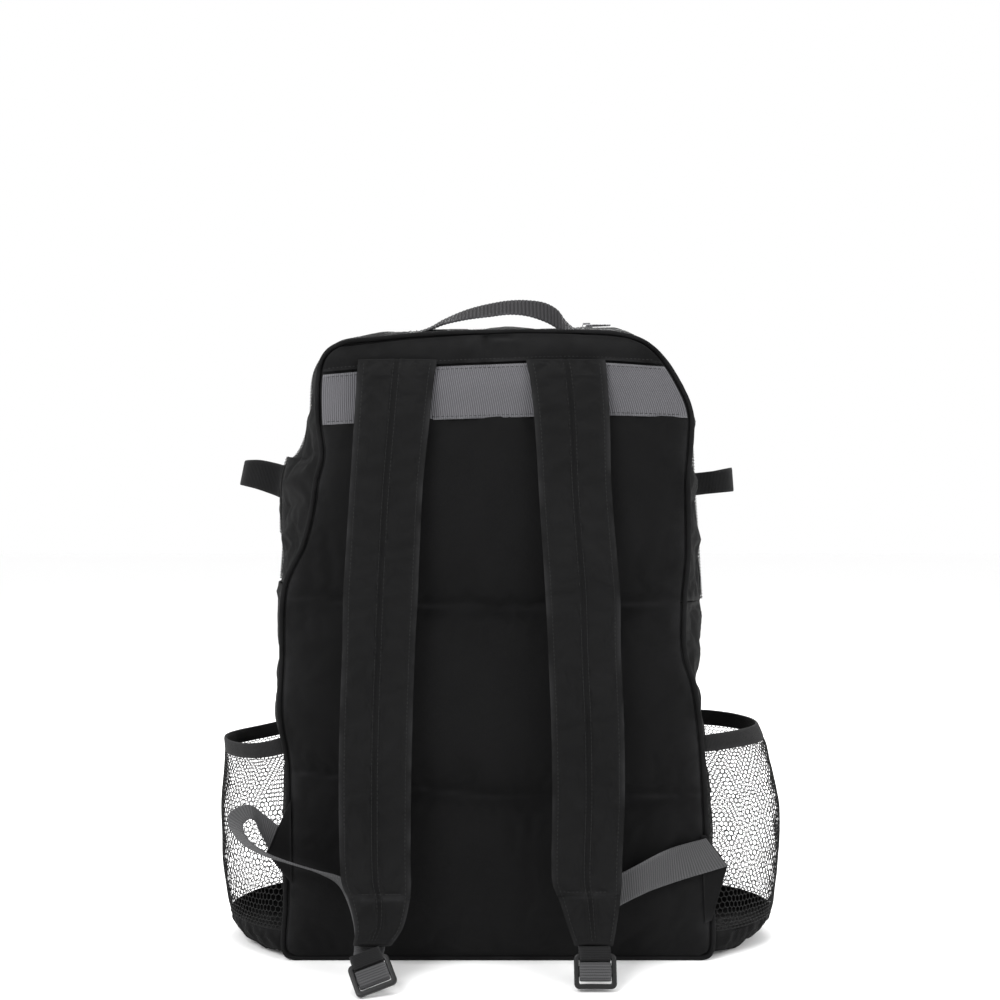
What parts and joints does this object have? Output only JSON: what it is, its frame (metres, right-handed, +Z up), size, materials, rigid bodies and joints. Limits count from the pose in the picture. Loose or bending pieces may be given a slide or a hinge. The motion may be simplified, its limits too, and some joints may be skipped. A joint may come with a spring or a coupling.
{
  "type": "baseball bat backpack",
  "caption": "Black backpack with padded straps, a zipped body, and a netted pocket and elastic loop on each side that carry baseball bats.",
  "frame": {"origin": "on the ground, under the middle of the whole backpack", "axes": "+Z up, the harness side faces -Y, +X to the right as the harness side is looked at"},
  "size_m": [0.5064, 0.3166, 0.5641],
  "materials": {
    "black_polyester": "fine woven black polyester, matt",
    "black_elastic": "black elastic tape, fine ribs",
    "black_net": "black knitted hexagonal net",
    "grey_webbing": "grey woven webbing, coarse ribs",
    "dark_ribbed_webbing": "dark grey ribbed webbing",
    "black_plastic": "moulded black plastic, satin",
    "steel": "nickel-plated zinc, worn satin"
  },
  "bodies": {
    "bag": {"back_panel": "black_polyester", "panel_yoke": "black_polyester", "front_panel": "black_polyester", "side_gusset_left": "black_polyester", "side_gusset_right": "black_polyester", "top_gusset_back": "black_polyester", "top_gusset_front": "black_polyester", "base_panel": "black_polyester", "piping_back": "black_polyester", "piping_front": "black_polyester", "zip_tape": "black_elastic", "zip_coil": "black_plastic", "zip_slider": "steel", "webbing_band": "grey_webbing", "shoulder_strap_left": "black_polyester", "shoulder_strap_right": "black_polyester", "buckle_loop_left": "black_elastic", "buckle_loop_right": "black_elastic", "ladder_lock_left": "black_plastic", "ladder_lock_right": "black_plastic", "lower_webbing_left": "grey_webbing", "lower_webbing_right": "grey_webbing", "webbing_tab_left": "black_polyester", "webbing_tab_right": "black_polyester", "haul_handle": "dark_ribbed_webbing", "bat_loop_left": "black_elastic", "bat_loop_right": "black_elastic", "pocket_net_left": "black_net", "pocket_net_right": "black_net", "pocket_hem_left": "black_elastic", "pocket_hem_right": "black_elastic", "pocket_base_left": "black_polyester", "pocket_base_right": "black_polyester"},
    "zip_pull": {"zip_pull": "steel"}
  },
  "joints": [
    {"name": "pull_hinge", "type": "hinge", "parent": "bag", "child": "zip_pull", "pos_m": [0.07695, 0.00792, 0.54766], "axis": [0, -1, 0], "range_deg": [0, 170]}
  ]
}
